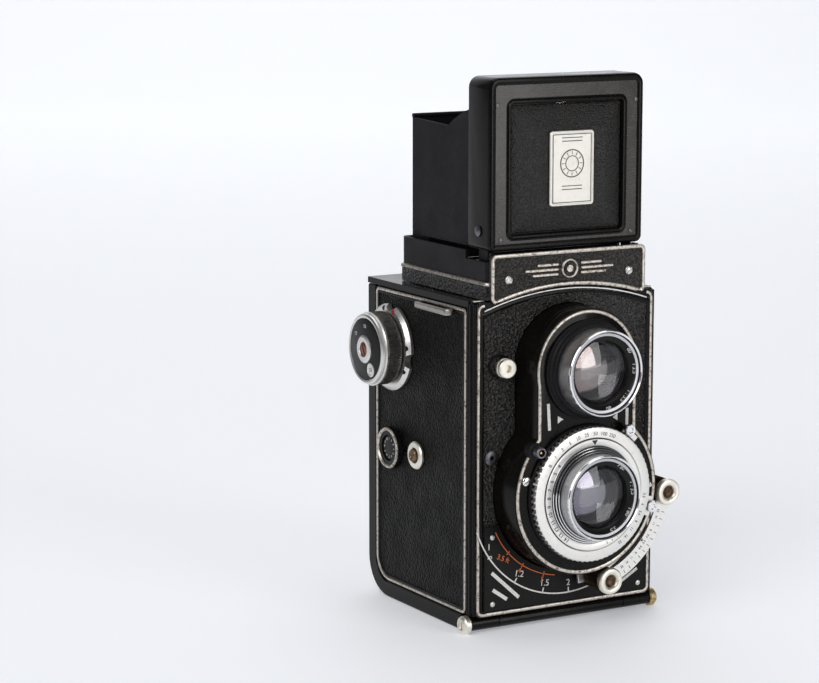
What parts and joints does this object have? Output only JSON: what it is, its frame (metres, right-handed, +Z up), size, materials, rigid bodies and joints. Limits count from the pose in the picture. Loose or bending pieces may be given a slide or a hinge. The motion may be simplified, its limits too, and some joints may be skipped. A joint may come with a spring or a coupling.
{
  "type": "twin lens reflex camera",
  "caption": "Medium format roll film camera with viewing and taking lenses one above the other, knob film advance, focusing lever and a folding waist-level hood.",
  "frame": {"origin": "middle of the width on the underside, 22 mm behind the front plate's face", "axes": "+Z up, towards the open hood; the lenses face -Y; +X is the viewer's right in front of the camera, and the advance knob is on -X"},
  "size_m": [0.0951, 0.104, 0.1972],
  "materials": {
    "black_enamel": "glossy black enamel, worn to bare metal along the edges",
    "leatherette": "black pebble-grained leatherette",
    "black_satin": "satin black lacquer",
    "satin_steel": "satin nickel, lightly scratched",
    "chrome_bright": "bright chrome",
    "brass_worn": "worn brass",
    "ivory_ring": "ivory silver",
    "scale_plate": "black plate with white and orange distance scales",
    "lens_glass": "coated optical glass",
    "screen_glass": "ground glass",
    "mirror_front": "front-silvered",
    "spool_black": "black painted steel"
  },
  "bodies": {
    "camera_body": {"body_casting": "black_enamel", "front_plate": "leatherette", "side_cover_left": "leatherette", "side_cover_right": "leatherette", "hood_base": "leatherette", "hood_collar": "black_enamel", "name_plate": "leatherette", "name_plate_screw_left": "satin_steel", "name_plate_screw_right": "satin_steel", "distance_scale_plate": "scale_plate", "film_gate": "black_satin", "film_roller_upper": "satin_steel", "film_roller_lower": "satin_steel", "mirror_box": "black_satin", "viewing_mirror": "mirror_front", "focusing_screen": "screen_glass", "hinge_pin": "satin_steel", "hinge_end_left": "satin_steel", "hinge_end_right": "satin_steel", "strap_lug_left": "chrome_bright", "strap_lug_right": "chrome_bright", "advance_base_ring": "satin_steel", "counter_bezel": "black_satin", "counter_button_bezel": "chrome_bright", "cable_socket": "black_satin", "hood_pivot_left": "satin_steel", "hood_pivot_right": "satin_steel"},
    "back_door": {"back_door": "black_enamel", "pressure_plate": "black_satin", "tripod_bush": "satin_steel"},
    "back_latch": {"back_latch": "satin_steel"},
    "lens_panel": {"lens_panel": "black_enamel", "viewing_barrel": "black_satin", "viewing_lens": "lens_glass", "shutter_housing": "black_satin", "taking_barrel": "satin_steel", "taking_lens": "lens_glass", "sync_socket": "brass_worn"},
    "speed_ring": {"speed_ring": "satin_steel"},
    "aperture_lever": {"aperture_lever": "satin_steel"},
    "cocking_lever": {"cocking_lever": "satin_steel"},
    "focusing_lever": {"focusing_lever": "satin_steel", "focus_knob_lower": "ivory_ring", "focus_knob_upper": "ivory_ring"},
    "advance_knob": {"advance_knob": "black_enamel", "advance_knob_cap": "black_satin", "take_up_spool": "spool_black"},
    "counter_dial": {"counter_dial": "black_satin"},
    "counter_button": {"counter_button": "brass_worn"},
    "release_button": {"release_button": "chrome_bright"},
    "spool_knob_upper": {"spool_knob_upper": "satin_steel"},
    "spool_knob_lower": {"spool_knob_lower": "satin_steel"},
    "hood_lid": {"hood_lid": "black_enamel", "lid_panel": "leatherette", "lid_badge": "satin_steel", "hood_side_left": "black_satin", "hood_side_right": "black_satin"},
    "hood_rear": {"hood_rear_panel": "black_satin"},
    "magnifier": {"magnifier_frame": "black_satin", "magnifier_lens": "lens_glass"}
  },
  "joints": [
    {"name": "hood_lid_hinge", "type": "hinge", "parent": "camera_body", "child": "hood_lid", "pos_m": [0, -0.01475, 0.14345], "axis": [-1, 0, 0], "range_deg": [0, 90]},
    {"name": "hood_rear_hinge", "type": "hinge", "parent": "camera_body", "child": "hood_rear", "pos_m": [0, 0.0364, 0.135], "axis": [1, 0, 0], "range_deg": [0, 100]},
    {"name": "magnifier_hinge", "type": "hinge", "parent": "hood_lid", "child": "magnifier", "pos_m": [0, -0.019, 0.1722], "axis": [1, 0, 0], "range_deg": [-90, 0]},
    {"name": "back_door_hinge", "type": "hinge", "parent": "camera_body", "child": "back_door", "pos_m": [0, -0.0188, 0.0033], "axis": [-1, 0, 0], "range_deg": [0, 105]},
    {"name": "back_latch_slide", "type": "slide", "parent": "back_door", "child": "back_latch", "axis": [0, 0, -1], "range_m": [0, 0.003]},
    {"name": "lens_panel_slide", "type": "slide", "parent": "camera_body", "child": "lens_panel", "axis": [0, -1, 0], "range_m": [-0.0017, 0.0052]},
    {"name": "focusing_lever_turn", "type": "hinge", "parent": "camera_body", "child": "focusing_lever", "pos_m": [0, -0.022, 0.0505], "axis": [0, 1, 0], "range_deg": [-26, 80]},
    {"name": "speed_ring_turn", "type": "hinge", "parent": "lens_panel", "child": "speed_ring", "pos_m": [0, -0.022, 0.0505], "axis": [0, 1, 0], "range_deg": [-70, 80]},
    {"name": "aperture_lever_turn", "type": "hinge", "parent": "lens_panel", "child": "aperture_lever", "pos_m": [0, -0.022, 0.0505], "axis": [0, 1, 0], "range_deg": [0, 50]},
    {"name": "cocking_lever_turn", "type": "hinge", "parent": "lens_panel", "child": "cocking_lever", "pos_m": [0, -0.022, 0.0505], "axis": [0, 1, 0], "range_deg": [0, 42], "stiffness_Nm_per_rad": 0.02},
    {"name": "advance_knob_turn", "type": "hinge", "parent": "camera_body", "child": "advance_knob", "pos_m": [0, 0.0353, 0.0957], "axis": [-1, 0, 0], "continuous": true},
    {"name": "counter_dial_turn", "type": "hinge", "parent": "camera_body", "child": "counter_dial", "pos_m": [0, 0.035, 0.058], "axis": [-1, 0, 0], "continuous": true},
    {"name": "counter_button_press", "type": "slide", "parent": "camera_body", "child": "counter_button", "axis": [1, 0, 0], "range_m": [0, 0.0015], "stiffness_N_per_m": 200},
    {"name": "release_button_press", "type": "slide", "parent": "camera_body", "child": "release_button", "axis": [0, 1, 0], "range_m": [0, 0.0032], "stiffness_N_per_m": 300},
    {"name": "spool_knob_upper_pull", "type": "slide", "parent": "camera_body", "child": "spool_knob_upper", "axis": [1, 0, 0], "range_m": [0, 0.006], "stiffness_N_per_m": 150},
    {"name": "spool_knob_lower_pull", "type": "slide", "parent": "camera_body", "child": "spool_knob_lower", "axis": [1, 0, 0], "range_m": [0, 0.006], "stiffness_N_per_m": 150}
  ],
  "couplings": [
    {"joint": "hood_rear_hinge", "follows": "hood_lid_hinge", "ratio": 1.1},
    {"joint": "focusing_lever_turn", "follows": "lens_panel_slide", "rad_per_m": 265},
    {"joint": "counter_dial_turn", "follows": "advance_knob_turn", "ratio": 0.08}
  ]
}
